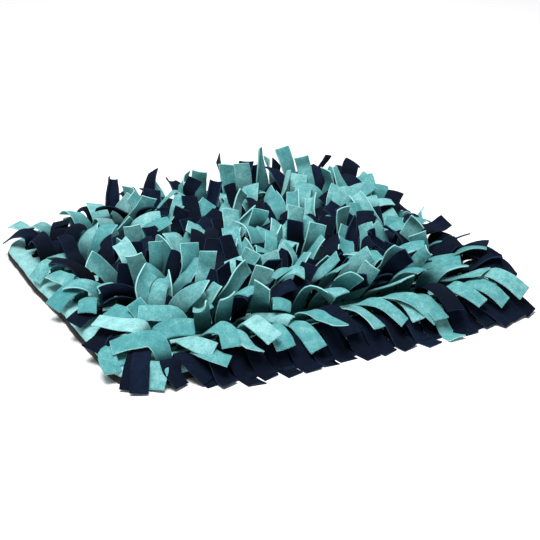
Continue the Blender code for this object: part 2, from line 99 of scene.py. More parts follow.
def addSoftbox(name, lampSet):
    bpy.ops.object.light_add(type="AREA", location=lampSet["place"])
    lamp = bpy.context.object
    lamp.name = name
    lamp.data.size = lampSet["size"]
    lamp.data.energy = lampSet["power"]
    aim(lamp, Vector(studio["lampTarget"]) - Vector(lampSet["place"]))


def makeStudio():
    world = bpy.data.worlds.new("studioWhite")
    bpy.context.scene.world = world
    world.use_nodes = True
    sky = world.node_tree.nodes["Background"]
    sky.inputs["Color"].default_value = (1, 1, 1, 1)
    sky.inputs["Strength"].default_value = studio["sky"]
    bpy.context.scene.view_settings.view_transform = "Standard"
    addSoftbox("keySoftbox", studio["key"])
    addSoftbox("backSoftbox", studio["back"])
    bpy.ops.mesh.primitive_plane_add(size=studio["floorSize"])
    floor = bpy.context.object
    floor.name = "paleFloor"
    # emulsion on board: flat, with no gloss
    paint = newMaterial("mattWhitePaint", {"Base Color": toLinear(studio["floor"]), "Roughness": 1.0,
                                           "Specular IOR Level": studio["floorSpecular"]})[0]
    floor.data.materials.append(paint)


bpy.ops.object.select_all(action="DESELECT")
addCamera()
makeStudio()
print("camera, floor and light are set")


# Anti-pill polar fleece: knitted polyester, brushed and sheared, so it is matt with a short nap that lifts
# to a soft pale bloom at glancing angles. Nap fibres are about 0.3 mm and are drawn at 0.9 mm so that they
# show; shearing leaves pills about 2 mm apart and cloudy patches about 9 mm across.
# The cut-edge colour in each cloth is a painted highlight: the edges are drawn paler, standing in for the
# light that their thickness catches.
aquaFleece = {"name": "aquaPolarFleece", "deep": "#2b7176", "base": "#519497", "light": "#93c6c7",
              "cut": "#9ad3d3", "root": "#05282e", "sheen": 0.36, "sheenTint": "#a9ecea"}
navyFleece = {"name": "navyPolarFleece", "deep": "#040a15", "base": "#060e1d", "light": "#0e1b30",
              "cut": "#20354f", "root": "#020509", "sheen": 0.03, "sheenTint": "#8fa0bd"}
# the root colour in each cloth is painted shade: the tails darken towards it near their roots, standing in for
# the shade deep in the pile
# sizes in mm; share is how far each pattern moves the colour from deep to light
fleecePatterns = {"cloud": {"size": 9.0, "detail": 3.0, "roughness": 0.5, "share": 0.35},
                  "pill": {"size": 2.0, "detail": 2.0, "roughness": 0.5, "share": 0.25},
                  "nap": {"size": 0.9, "detail": 2.0, "roughness": 0.7, "share": 0.35}}
fleeceLook = {"toneShare": 0.3, "deepAt": 0.35, "baseAt": 0.59, "lightAt": 0.83, "pillHeight": 0.6,
              "bump": 0.55, "bumpDepth": 0.35 * mm, "roughness": 0.92, "specular": 0.08,
              "sheenRoughness": 0.45}


def addShare(tree, value, share, total):
    # value times share, on top of the total so far
    node = addNode(tree, "ShaderNodeMath", {1: share, 2: 0.0}, {0: value}, operation="MULTIPLY_ADD")
    if total:
        tree.links.new(total, node.inputs[2])
    return node.outputs[0]


def addBump(tree, shader, height, look):
    depth = {"Strength": look["bump"], "Distance": look["bumpDepth"]}
    bump = addNode(tree, "ShaderNodeBump", depth, {"Height": height})
    tree.links.new(bump.outputs["Normal"], shader.inputs["Normal"])


def fleeceMaterial(cloth, cutEdge=False):
    fabric, tree, shader = newMaterial(cloth["name"] + ("CutEdge" if cutEdge else ""), {
        "Roughness": fleeceLook["roughness"], "Specular IOR Level": fleeceLook["specular"],
        "Sheen Weight": cloth["sheen"], "Sheen Roughness": fleeceLook["sheenRoughness"],
        "Sheen Tint": toLinear(cloth["sheenTint"])})
    place = addNode(tree, "ShaderNodeTexCoord").outputs["Object"]
    patterns, patch = {}, None
    for name, look in fleecePatterns.items():
        inputs = {"Scale": 1000 / look["size"], "Detail": look["detail"], "Roughness": look["roughness"]}
        patterns[name] = addNode(tree, "ShaderNodeTexNoise", inputs, {"Vector": place}).outputs["Fac"]
        patch = addShare(tree, patterns[name], look["share"], patch)
    tone = addNode(tree, "ShaderNodeAttribute", attribute_name="tailTone").outputs["Fac"]
    patch = addShare(tree, tone, fleeceLook["toneShare"], patch)
    colours = addNode(tree, "ShaderNodeValToRGB", {}, {"Fac": patch})
    low, high = colours.color_ramp.elements
    # on the cut edges the whole ramp is the painted highlight colour
    low.position, low.color = fleeceLook["deepAt"], toLinear(cloth["cut" if cutEdge else "deep"])
    high.position, high.color = fleeceLook["lightAt"], toLinear(cloth["cut" if cutEdge else "light"])
    if not cutEdge:
        middle = colours.color_ramp.elements.new(fleeceLook["baseAt"])
        middle.color = toLinear(cloth["base"])
    # painted shade: where rootShade is high the colour is mixed towards the root colour, darkening the tails
    # near their roots
    shade = addNode(tree, "ShaderNodeAttribute", attribute_name="rootShade").outputs["Fac"]
    mixed = {0: shade, 6: colours.outputs["Color"]}
    shaded = addNode(tree, "ShaderNodeMix", {7: toLinear(cloth["root"])}, mixed, data_type="RGBA")
    tree.links.new(shaded.outputs[2], shader.inputs["Base Color"])
    height = addShare(tree, patterns["pill"], fleeceLook["pillHeight"], patterns["nap"])
    addBump(tree, shader, height, fleeceLook)
    return fabric


# Non-slip upholstery cloth: woven black polyester with fine rubbery grip dots pressed on, so it is dull
# black with a 1.2 mm weave and small brown-grey flecks of rubber. Gaps are in mm; inner and outer are where
# a spot's edge fades.
gripCloth = {"base": "#09090a", "thread": "#161513", "dot": "#2c2621", "dotHeight": 0.6, "bump": 0.6,
             "bumpDepth": 0.3 * mm, "roughness": 0.72, "specular": 0.2}
gripThreads = {"gap": 1.2, "randomness": 0.45, "inner": 0.1, "outer": 0.7}
gripDots = {"gap": 2.6, "randomness": 0.6, "inner": 0.22, "outer": 0.34}


def addSpots(tree, place, spots):
    # 1 in the middle of each spot and 0 between them
    spacing = {"Scale": 1000 / spots["gap"], "Randomness": spots["randomness"]}
    cells = addNode(tree, "ShaderNodeTexVoronoi", spacing, {"Vector": place})
    edges = {"From Min": spots["inner"], "From Max": spots["outer"], "To Min": 1.0, "To Max": 0.0}
    return addNode(tree, "ShaderNodeMapRange", edges, {"Value": cells.outputs["Distance"]}).outputs[0]


def gripMaterial():
    fabric, tree, shader = newMaterial("blackNonSlipCloth", {"Roughness": gripCloth["roughness"],
                                                             "Specular IOR Level": gripCloth["specular"]})
    place = addNode(tree, "ShaderNodeTexCoord").outputs["Object"]
    threads, dots = addSpots(tree, place, gripThreads), addSpots(tree, place, gripDots)
    colours = {6: toLinear(gripCloth["base"]), 7: toLinear(gripCloth["thread"])}
    ground = addNode(tree, "ShaderNodeMix", colours, {0: threads}, data_type="RGBA")
    both = addNode(tree, "ShaderNodeMix", {7: toLinear(gripCloth["dot"])}, {0: dots, 6: ground.outputs[2]},
                   data_type="RGBA")
    tree.links.new(both.outputs[2], shader.inputs["Base Color"])
    addBump(tree, shader, addShare(tree, dots, gripCloth["dotHeight"], threads), gripCloth)
    return fabric


fleece = {"aqua": fleeceMaterial(aquaFleece), "navy": fleeceMaterial(navyFleece)}
# the cut-edge cloths carry the painted highlight along the edges of every tail and band
cutFleece = {"aqua": fleeceMaterial(aquaFleece, True), "navy": fleeceMaterial(navyFleece, True)}
print("cloths are mixed")


# the padded base; each wave of its outline has a size, a count and a shift, and each noise a size and a seed
base = {"width": 450 * mm, "depth": 400 * mm, "corner": 38 * mm, "wave": 1.3 * mm,
        "waves": ((1, 7, 0.6), (0.6, 13, 2.1)), "cornerSteps": 10, "sideSteps": 12, "creaseAngle": 50}
# how the sewn edge wanders in and out, the same for the pad and the underside
edgeWander = {"push": 1.1 * mm, "noise": (55 * mm, 6.2), "rise": 1.5}


def outline(inset):
    # the base's rounded, slightly wavy rectangle, moved in by inset
    radius = base["corner"] - inset
    reachX = base["width"] / 2 - base["corner"]
    reachY = base["depth"] / 2 - base["corner"]
    corners = [(-reachX, -reachY, 180), (reachX, -reachY, 270), (reachX, reachY, 0), (-reachX, reachY, 90)]
    points = []
    for number, (x, y, start) in enumerate(corners):
        for step in range(base["cornerSteps"] + 1):
            angle = math.radians(start + 90 * step / base["cornerSteps"])
            points.append(Vector((x + radius * math.cos(angle), y + radius * math.sin(angle))))
        nextX, nextY, nextStart = corners[(number + 1) % len(corners)]
        angle = math.radians(nextStart)
        begin = points[-1]
        end = Vector((nextX + radius * math.cos(angle), nextY + radius * math.sin(angle)))
        points += [begin.lerp(end, step / base["sideSteps"]) for step in range(1, base["sideSteps"])]
    for point in points:
        turn = math.atan2(point.y, point.x)
        wave = sum(size * math.sin(count * turn + shift) for size, count, shift in base["waves"])
        point += point.normalized() * base["wave"] * wave
    return points


def smoothStep(value):
    value = np.clip(value, 0, 1)
    return value * value * (3 - 2 * value)


def softNoise(x, y, size, seed):
    return np.array([noise.noise(Vector((a / size, b / size, seed))) for a, b in zip(x, y)])


def pointsOf(mesh):
    points = np.zeros(len(mesh.vertices) * 3)
    mesh.vertices.foreach_get("co", points)
    return points.reshape(-1, 3)


def panelFromGrid(name, cells, rimRings, rim):
    # a flat grid drawn out to the base's outline: its inner rings lie flat, its outer rings roll over the rim
    bpy.ops.object.select_all(action="DESELECT")
    bpy.ops.mesh.primitive_grid_add(x_subdivisions=cells[0], y_subdivisions=cells[1], size=2)
    panel = bpy.context.object
    panel.name = name
    bpy.ops.object.mode_set(mode="EDIT")
    bpy.ops.mesh.select_mode(type="EDGE")
    bpy.ops.mesh.select_all(action="DESELECT")
    bpy.ops.mesh.select_non_manifold()
    bpy.ops.mesh.edge_face_add()
    bpy.ops.object.mode_set(mode="OBJECT")
    flat = pointsOf(panel.data)
    ring = np.maximum(abs(flat[:, 0]), abs(flat[:, 1]))
    border = outline(0.0)
    turns = np.array([math.atan2(p.y, p.x) for p in border])
    radii = np.array([p.length for p in border])
    order = np.argsort(turns)
    turn = np.arctan2(flat[:, 1] * base["depth"], flat[:, 0] * base["width"])
    radius = np.interp(turn, turns[order], radii[order], period=2 * math.pi)
    topShare = 1 - rimRings * 2 / min(cells)
    inner = np.minimum(ring / topShare, 1)
    outer = np.clip((ring - topShare) / (1 - topShare), 0, 1)
    shares = [p["share"] for p in rim]
    inset, height = (np.interp(outer, shares, [p[key] for p in rim]) for key in ("inset", "z"))
    reach = (radius - rim[0]["inset"]) * inner + (rim[0]["inset"] - inset) * (outer > 0)
    return panel, np.stack([np.cos(turn) * reach, np.sin(turn) * reach, height], axis=1), outer, radius


def pushOut(points, outer, push):
    # moves points away from the middle, by the shared wander and a push of their own
    x, y = points[:, 0], points[:, 1]
    out = points[:, :2] / np.maximum(np.linalg.norm(points[:, :2], axis=1), 1e-6)[:, None]
    rise = smoothStep(outer * edgeWander["rise"])
    wander = edgeWander["push"] * softNoise(x, y, *edgeWander["noise"]) * rise
    points[:, :2] += out * (wander + push)[:, None]


def setAttribute(mesh, name, values):
    values = np.broadcast_to(values, len(mesh.vertices)).copy()
    mesh.attributes.new(name, "FLOAT", "POINT").data.foreach_set("value", values)


def finishPanel(panel, points, material, tone):
    panel.data.vertices.foreach_set("co", points.ravel())
    panel.data.materials.append(material)
    setAttribute(panel.data, "tailTone", tone)
    bpy.ops.object.mode_set(mode="EDIT")
    bpy.ops.mesh.select_all(action="SELECT")
    bpy.ops.mesh.normals_make_consistent(inside=False)
    bpy.ops.object.mode_set(mode="OBJECT")
    bpy.ops.object.shade_smooth_by_angle(angle=math.radians(base["creaseAngle"]))
    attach(panel, "root")


pad = {"cells": (132, 118), "rimRings": 10, "topZ": 15 * mm, "middleZ": 8.6 * mm, "seamZ": 5.3 * mm,
       "roll": 8.2 * mm, "rollAngle": 120, "bulge": 0.1 * mm, "lump": 0.9 * mm, "lumpNoise": (38 * mm, 1.7),
       "smallLumpNoise": (16 * mm, 4.1), "smallLumpShare": 0.5, "lumpMiddle": 0.35, "pucker": 0.35 * mm,
       "puckerGap": 7.5 * mm, "puckerNoise": (60 * mm, 9.3), "puckerStray": 3, "puckerFrom": 0.55, "tone": 1.0,
       "fill": 0.6}


def makePad():
    rim = []
    drop = pad["topZ"] - pad["middleZ"]
    for step in range(pad["rimRings"] + 1):
        share = step / pad["rimRings"]
        angle = math.radians(pad["rollAngle"] * share)
        rim.append({"share": share, "inset": pad["roll"] * (1 - math.sin(angle)) - pad["bulge"],
                    "z": pad["middleZ"] + drop * math.cos(angle)})
    piece, points, outer, radius = panelFromGrid("fleecePad", pad["cells"], pad["rimRings"], rim)
    x, y, z = points.T
    lump = softNoise(x, y, *pad["lumpNoise"]) + pad["smallLumpShare"] * softNoise(x, y, *pad["smallLumpNoise"])
    rise = np.where(z > pad["middleZ"], (z - pad["middleZ"]) / drop, 0)
    points[:, 2] += pad["lump"] * (lump - pad["lumpMiddle"]) * rise
    along = np.arctan2(y, x) * radius
    strayed = pad["puckerStray"] * softNoise(x, y, *pad["puckerNoise"])
    pucker = np.sin(along / pad["puckerGap"] * 2 * math.pi + strayed)
    grown = smoothStep((outer - pad["puckerFrom"]) / (1 - pad["puckerFrom"]))
    pushOut(points, outer, pad["pucker"] * pucker * grown)
    points[:, 2] = np.maximum(points[:, 2], pad["seamZ"] - 0.05 * mm)
    finishPanel(piece, points, fleece["aqua"], pad["tone"])
    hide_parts("fleece_pad")


# the underside turns up over the rim and meets the pad at the black border
backing = {"cells": (92, 82), "rimRings": 5, "ripple": 0.55 * mm, "rippleNoise": (9 * mm, 2.6), "tone": 0.5,
           "inset": (4.0, 0.8, -0.9, -1.6, -1.5, -0.3), "z": (0.0, 0.1, 1.3, 3.6, 6.2, 8.0)}


def makeBacking():
    rim = [{"share": ring / backing["rimRings"], "inset": inset * mm, "z": z * mm}
           for ring, (inset, z) in enumerate(zip(backing["inset"], backing["z"]))]
    piece, points, outer = panelFromGrid("nonSlipUnderside", backing["cells"], backing["rimRings"], rim)[:3]
    ripple = softNoise(points[:, 0], points[:, 1], *backing["rippleNoise"])
    pushOut(points, outer, backing["ripple"] * ripple * smoothStep(outer * 2))
    finishPanel(piece, points, gripMaterial(), backing["tone"])
    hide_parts("backing_panel")


makePad()
makeBacking()
print("padded base is sewn")


# where each tail stands
fringe = {"rows": 15, "columns": 20, "firstY": -base["depth"] / 2 + 16 * mm,
          "lastY": base["depth"] / 2 - 22 * mm, "firstX": -base["width"] / 2 + 26 * mm,
          "lastX": base["width"] / 2 - 19 * mm, "rimGap": 9 * mm, "offset": {"aqua": -4 * mm, "navy": 4 * mm},
          "bandWidth": 5.4 * mm, "bandHeight": 2.4 * mm, "bandZ": 15 * mm + 0.3 * mm, "bandEnd": 9.5 * mm}
tailCut = {"solidThick": 2.2 * mm, "rootWidth": 16 * mm, "width": 19.6 * mm, "clearance": 0.2 * mm,
           "shortest": 52 * mm, "longest": 68 * mm, "byHand": 66 * mm, "spinReach": 0.55, "rollReach": 0.8,
           "faceReach": 0.5, "post": 13 * mm, "tries": 400, "leastTurnShare": 0.2}

# heading is where tails lean to, 0 along +X and 90 along +Y; start and end are degrees of lean from upright
frontRows = (
    {"heading": -89, "start": 20, "end": 90, "spread": 4},
    {"heading": -82, "start": 20, "end": 90, "spread": 13},
    {"heading": -84, "start": 16, "end": 66, "spread": 42},
    {"heading": -80, "start": 10, "end": 50, "spread": 75},
)
frontRight = {"heading": -46, "start": 46, "end": 112, "spread": 22}
rightEdge = {"heading": -18, "start": 38, "end": 98, "spread": 24}
leftEdge = {"heading": 232, "start": 26, "end": 142, "spread": 34}
backEdge = {"heading": 95, "start": 6, "end": 40, "spread": 30}
lowCorner = {"heading": None, "start": 28, "end": 112, "spread": 90}
middleRows = {"heading": None, "start": 15, "end": 66, "spread": 85}
# how many columns or rows each edge's stance takes up, and where the low back-left corner starts
stanceReach = {"frontRight": 4, "right": 2, "left": 2, "back": 2, "lowColumns": 5, "lowRow": 9}
# most tails that don't lean far turn a face to the front left
shownFace = {"below": 80, "share": 0.66, "spin": -24, "spread": 32}
facing = 244  # the way that the faces of the listed laid tails tip to
reachX = (-base["width"] / 2 - 4 * mm, base["width"] / 2 + 27 * mm)
reachY = (-base["depth"] / 2 - 44 * mm, base["depth"] / 2 + 22 * mm)
cornerReachX, cornerRow = -221 * mm, 9
# how high the pile stands along the width, x and z in mm
crown = ((-225, 36), (-178, 46), (-150, 60), (-100, 62), (-60, 70), (0, 74), (60, 78), (100, 70), (130, 84),
         (170, 80), (200, 60), (225, 52), (252, 42))

# tails stood one by one: length in mm, spin turns the width as the tail leaves its root, roll tips it over
placedColumns = ("row", "column", "layer", "heading", "start", "end", "length", "spin", "roll")
placedTails = (
    (5, 3, "navy", 186, 44, 96, 66, -84, -55),
    (4, 4, "aqua", -84, 0, 150, 68, 6, 0),
    (6, 3, "aqua", 180, 8, 22, 52, 0, 0),
    (7, 2, "aqua", 176, 22, 52, 54, 30, 0),
    (7, 4, "aqua", 30, 2, 8, 50, 4, 0),
    (9, 4, "aqua", 150, 2, 12, 50, -6, 0),
    (6, 5, "aqua", 20, 8, 16, 54, 20, 0),
    (3, 5, "aqua", 5, 30, 62, 66, 40, 30),
    (2, 6, "aqua", -56, 42, 108, 64, 34, 0),
    (4, 10, "aqua", 88, 0, 16, 58, 34, 0),
    (4, 12, "aqua", -14, 22, 44, 54, 12, 0),
    (7, 15, "navy", 180, 2, 10, 50, 4, 0),
    (6, 12, "aqua", -28, 4, 20, 54, -8, 0),
    (13, 6, "navy", 185, 20, 96, 66, -84, 0),
    (14, 14, "aqua", 80, 0, 14, 66, 8, 0),
)

# tails laid one by one round the corners and the left side: three places on the way in mm, and how far the
# face tips over
laidColumns = ("row", "column", "layer", "first", "second", "tip", "tilt")
laidTails = (
    (1, 0, "navy", (-192, -167, 26), (-203, -189, 20), (-215, -214, 3), 20),
    (0, 1, "aqua", (-181, -172, 35), (-202, -163, 34), (-221, -157, 28), 24),
    (2, 1, "aqua", (-184, -140, 36), (-200, -122, 34), (-216, -103, 30), 16),
    (3, 1, "aqua", (-177, -106, 33), (-186, -92, 33), (-192, -76, 31), 26),
    (2, 3, "aqua", (-144, -131, 38), (-160, -123, 40), (-175, -114, 38), 34),
    (1, 1, "aqua", (-172, -160, 33), (-155, -159, 38), (-135, -165, 37), 34),
    (0, 2, "navy", (-158, -194, 23), (-151, -207, 14), (-143, -219, 3), 6),
    (1, 2, "aqua", (-150, -178, 31), (-145, -194, 33), (-132, -206, 28), 26),
    (1, 3, "aqua", (-120, -176, 38), (-113, -194, 41), (-115, -210, 30), 22),
    (1, 5, "aqua", (-82, -178, 40), (-79, -199, 41), (-71, -217, 32), 30),
    (2, 0, "aqua", (-204, -141, 22), (-214, -155, 19.5), (-216, -174, 18), 4),
    (3, 0, "navy", (-203, -107, 25), (-217, -119, 21), (-234, -129, 16), 6),
    (5, 0, "navy", (-206, -57, 27), (-219, -67, 25), (-232, -75, 20), 15),
    (7, 0, "aqua", (-203, -8, 31), (-219, -14, 29), (-235, -19, 18), 28),
    (8, 0, "aqua", (-204, 10, 31), (-211, 26, 32), (-213, 43, 29), 20),
    (10, 0, "aqua", (-202, 64, 32), (-215, 60, 33), (-230, 58, 18), 10),
    (13, 0, "navy", (-201, 158, 30), (-211, 172, 28), (-220, 186, 17), 10),
    (0, 17, "navy", (168, -188, 23), (184, -212, 14), (196, -231, 3), 4),
    (1, 16, "aqua", (154, -178, 33), (160, -202, 34), (170, -217, 25), 26),
    (1, 17, "aqua", (177, -176, 32), (186, -202, 34), (199, -217, 21), 22),
    (1, 18, "aqua", (200, -175, 39), (210, -199, 39), (224, -214, 25), 22),
    (2, 19, "navy", (210, -148, 30), (220, -171, 28), (231, -187, 13), 14),
    (3, 19, "navy", (211, -110, 38), (225, -125, 40), (240, -138, 30), 24),
)
placedByRoot = {values[:2]: dict(zip(placedColumns, values)) for values in placedTails}
laidByRoot = {values[:2]: dict(zip(laidColumns, values)) for values in laidTails}
byHand = laidByRoot | placedByRoot

# where the navy layer comes to the top: middle and radius of each patch, in mm
navyPatches = (
    (-200, 110, 28), (-166, 45, 30), (-150, -60, 26), (-200, -100, 24), (195, -140, 32), (172, -70, 38),
    (113, -34, 26), (7, -72, 26), (-58, -65, 22), (36, 54, 30), (-55, 7, 18), (106, 134, 24), (162, 150, 32),
    (-61, 175, 20), (-110, 180, 22), (54, 180, 26),
)
paleRows = 5
navyShare = {"patch": 0.88, "elsewhere": 0.27, "edge": 0.1, "frontRows": (0.9, 0.22)}


def rowY(row):
    return fringe["firstY"] + (fringe["lastY"] - fringe["firstY"]) * row / (fringe["rows"] - 1)


def columnX(column, row=0):
    column = column + 0.5 * (row == 1)  # the second row's tails lie between the first's
    return fringe["firstX"] + (fringe["lastX"] - fringe["firstX"]) * column / (fringe["columns"] - 1)


def rowColumns(row):
    furthest = max(abs(rowY(row) + offset) for offset in fringe["offset"].values()) + fringe["bandWidth"] / 2
    past = max(0.0, abs(furthest) - (base["depth"] / 2 - base["corner"]))
    radius = base["corner"] - fringe["rimGap"]
    reach = base["width"] / 2 - base["corner"] + math.sqrt(max(0.0, radius**2 - past**2))
    return [c for c in range(fringe["columns"]) if abs(columnX(c, row)) + fringe["bandEnd"] <= reach]


def rootPlace(row, column, layer):
    top = fringe["bandZ"] + fringe["bandHeight"]
    return Vector((columnX(column, row), rowY(row) + fringe["offset"][layer], top))


def layerOf(row, column, draw):
    if (row, column) in byHand:
        return byHand[row, column]["layer"]
    x, y = columnX(column, row) / mm, rowY(row) / mm
    pale = row < paleRows or column < stanceReach["left"]
    share = navyShare["edge" if pale else "elsewhere"]
    if row < len(navyShare["frontRows"]):
        share = navyShare["frontRows"][row]
    elif any(math.hypot(x - px, y - py) < radius for px, py, radius in navyPatches):
        share = navyShare["patch"]
    return "navy" if draw < share else "aqua"


def usualStance(row, column):
    fromRight = fringe["columns"] - column
    if len(fallPaths) <= row < len(frontRows) and fromRight <= stanceReach["frontRight"]:
        return frontRight
    if row < len(frontRows):
        return frontRows[row]
    if fromRight <= stanceReach["right"]:
        return rightEdge
    if column < stanceReach["left"]:
        return leftEdge
    if column < stanceReach["lowColumns"] and row >= stanceReach["lowRow"]:
        return lowCorner
    if row >= fringe["rows"] - stanceReach["back"]:
        return backEdge
    return middleRows


# how far a tail may stray from its usual stance, more so with each try: in degrees, skew in mm, and shares
stray = {"least": 0.6, "tries": 60, "most": 1.6, "start": 10, "end": 24, "backBend": 10, "mostBend": 150,
         "spin": 12, "roll": 16, "mostRoll": 1.4, "skew": 1.4, "shorterAfter": 150, "shorter": 0.5}
# where the middle tails lean: a slow drift over rows and columns
drift = {"column": 0.33, "row": 0.4, "seed": 3.7, "turn": 400}
# the front rows turn outwards at the right corner, and the second row steps up over tails in its way, in mm
fallSet = {"pull": 26, "columns": 4, "headings": (-122, -50), "over": 2.5, "leastOver": -3.0, "step": 2.6,
           "spareShare": 0.8}


def chooseTail(row, column, attempt, dice):
    usual = usualStance(row, column)
    falls = row < len(fallPaths)
    loose = stray["least"] + min(attempt / stray["tries"], stray["most"])
    heading = usual["heading"]
    if heading is None:
        place = Vector((column * drift["column"], row * drift["row"], drift["seed"]))
        heading = drift["turn"] * noise.noise(place)
    heading += dice.gauss(0, usual["spread"]) * loose
    start = max(0, usual["start"] + dice.gauss(0, stray["start"]) * loose)
    end = usual["end"] + dice.gauss(0, stray["end"]) * loose
    end = min(max(end, start - stray["backBend"]), start + stray["mostBend"])
    if falls:
        cornerPull = fallSet["pull"] * max(0, column - (fringe["columns"] - fallSet["columns"]))
        cornerPull /= fallSet["columns"] - 1
        heading = min(max(heading + cornerPull, fallSet["headings"][0]), fallSet["headings"][1])
    spin = (heading + 90 + dice.gauss(0, stray["spin"]) + 90) % 180 - 90
    if not falls and end < shownFace["below"] and dice.random() < shownFace["share"]:
        spin = shownFace["spin"] + dice.gauss(0, shownFace["spread"])
    shorter = 1 - stray["shorter"] * max(0, attempt - stray["shorterAfter"]) / tailCut["tries"]
    over = 0.0
    if row == 1:
        over = max(fallSet["leastOver"], dice.gauss(0, fallSet["over"]))
        over += fallSet["step"] * (attempt // 20 % 5)
    return {"heading": heading, "start": start, "end": end, "row": row, "falls": falls, "over": over,
            "length": dice.uniform(tailCut["shortest"], tailCut["longest"]) * shorter, "spin": spin,
            "roll": dice.gauss(0, stray["roll"]) * min(loose, stray["mostRoll"]),
            "skew": dice.gauss(0, stray["skew"]) * mm}


# stops on the way over the front edge, one table a row: the place that reach is measured from, reach and
# height in mm
fallPaths = (
    (("root", 4, 23.0), ("edge", 2, 22.0), ("edge", 20, 3.0), ("edge", 31, 1.1)),
    (("root", 8, 28.0), ("root", 26, 33.0), ("edge", 3, 29.0), ("edge", 14, 21.0)),
)


def leanVector(heading, lean):
    heading, lean = math.radians(heading), math.radians(lean)
    return Vector((math.sin(lean) * math.cos(heading), math.sin(lean) * math.sin(heading), math.cos(lean)))


# the more degrees a tail turns on its way, the more parts it is built of
arch = {"rootLean": 0.5, "spinShare": 0.5, "twoParts": 40, "threeParts": 85}


def archingLine(root, tail):
    turning = abs(tail["end"] - tail["start"]) + abs(tail["spin"]) * arch["spinShare"]
    parts = 2 if turning < arch["twoParts"] else 3 if turning < arch["threeParts"] else 4
    line = [(root, leanVector(tail["heading"], tail["start"] * arch["rootLean"]), 0.0)]
    for part in range(parts):
        middle, share = (part + 0.5) / parts, (part + 1) / parts
        leans = [tail["start"] + (tail["end"] - tail["start"]) * at for at in (middle, share)]
        step, along = (leanVector(tail["heading"], lean) for lean in leans)
        line.append((line[-1][0] + step * tail["length"] / parts, along, share))
    return line


def lineThrough(places, last):
    # stands up at its root, then runs on between the places
    count = len(places) - 1
    line = [(places[0], Vector((0, 0, 1)), 0.0)]
    line += [(places[i], (places[i + 1] - places[i - 1]).normalized(), i / count) for i in range(1, count)]
    return line + [(places[count], last.normalized(), 1.0)]


def fallingLine(root, tail):
    # over the front edge: the first row ends level on the floor, the second lies on it
    out = leanVector(tail["heading"], 90)
    out /= abs(out.y)
    toEdge = root.y + base["depth"] / 2
    spare = (tail["length"] - tailCut["shortest"]) * fallSet["spareShare"]
    places = [root]
    stops = fallPaths[tail["row"]]
    for number, (start, reach, z) in enumerate(stops, 1):
        reach = reach * mm + (toEdge if start == "edge" else 0) + (spare if number == len(stops) else 0)
        place = root + out * reach
        place.z = (z + tail["over"]) * mm
        places.append(place)
    level = tail["row"] == 0
    return lineThrough(places, Vector((out.x, out.y, 0)) if level else places[4] - places[3])


def laidLine(root, tail):
    places = [root] + [Vector(tail[stop]) * mm for stop in ("first", "second", "tip")]
    return lineThrough(places, places[3] - places[2])


def lineOf(root, tail):
    if "tip" in tail:
        return laidLine(root, tail)
    return fallingLine(root, tail) if tail["falls"] else archingLine(root, tail)


def frameAt(tail, along, share, last):
    # which way the tail's width and thickness point at a share of its length
    if "tip" in tail:
        face = leanVector(facing, tail["tilt"])
        turned = along.cross(face).normalized() * math.copysign(1, last.cross(face).x)
        weight = min(share / tailCut["faceReach"], 1)
        across = Vector((1, 0, 0)) * (1 - weight) + turned * weight
        roll = 0
    else:
        angle = math.radians(tail["spin"] * min(share / tailCut["spinReach"], 1))
        across = Vector((math.cos(angle), math.sin(angle), 0))
        roll = 0 if tail["falls"] else math.radians(tail["roll"]) * min(share / tailCut["rollReach"], 1)
    across = (across - along * across.dot(along)).normalized()
    rolled = across * math.cos(roll) + across.cross(along) * math.sin(roll)
    return rolled, rolled.cross(along)


def tailSections(root, tail, grow):
    sections = []
    line = lineOf(root, tail)
    for place, along, share in line:
        if share == 0:
            along = Vector((0, 0, 1))
        across, through = frameAt(tail, along, share, line[-1][1])
        half = (tailCut["rootWidth"] if share == 0 else tailCut["width"]) / 2 + grow
        thick = tailCut["solidThick"] / 2 + grow
        slant = along * (tail["skew"] if share == 1 else 0)
        for side, face in ((-1, 1), (1, 1), (1, -1), (-1, -1)):
            sections.append(place + across * half * side + through * thick * face + slant * side)
    return sections


def sideTriangles(count):
    # the four sides and the tip of a shell; both broad faces are split along the same diagonal
    found = []
    for low in range(0, 4 * (count - 1), 4):
        for side in range(4):
            a, b = low + side, low + (side + 1) % 4
            found += [(a, b, a + 4), (b, b + 4, a + 4)] if side == 2 else [(a, b, b + 4), (a, b + 4, a + 4)]
    top = 4 * (count - 1)
    return found + [(top, top + 1, top + 2), (top, top + 2, top + 3)]


def obstacle(points, triangles):
    corners = np.array(points)
    return {"low": corners.min(0), "high": corners.max(0), "tree": BVHTree.FromPolygons(points, triangles)}


def blockObstacle(low, high):
    points = [Vector((x, y, z)) for x in (low.x, high.x) for y in (low.y, high.y) for z in (low.z, high.z)]
    quads = ((0, 1, 3, 2), (4, 6, 7, 5), (0, 4, 5, 1), (2, 3, 7, 6), (0, 2, 6, 4), (1, 5, 7, 3))
    return obstacle(points, [(q[0], q[1], q[2]) for q in quads] + [(q[0], q[2], q[3]) for q in quads])


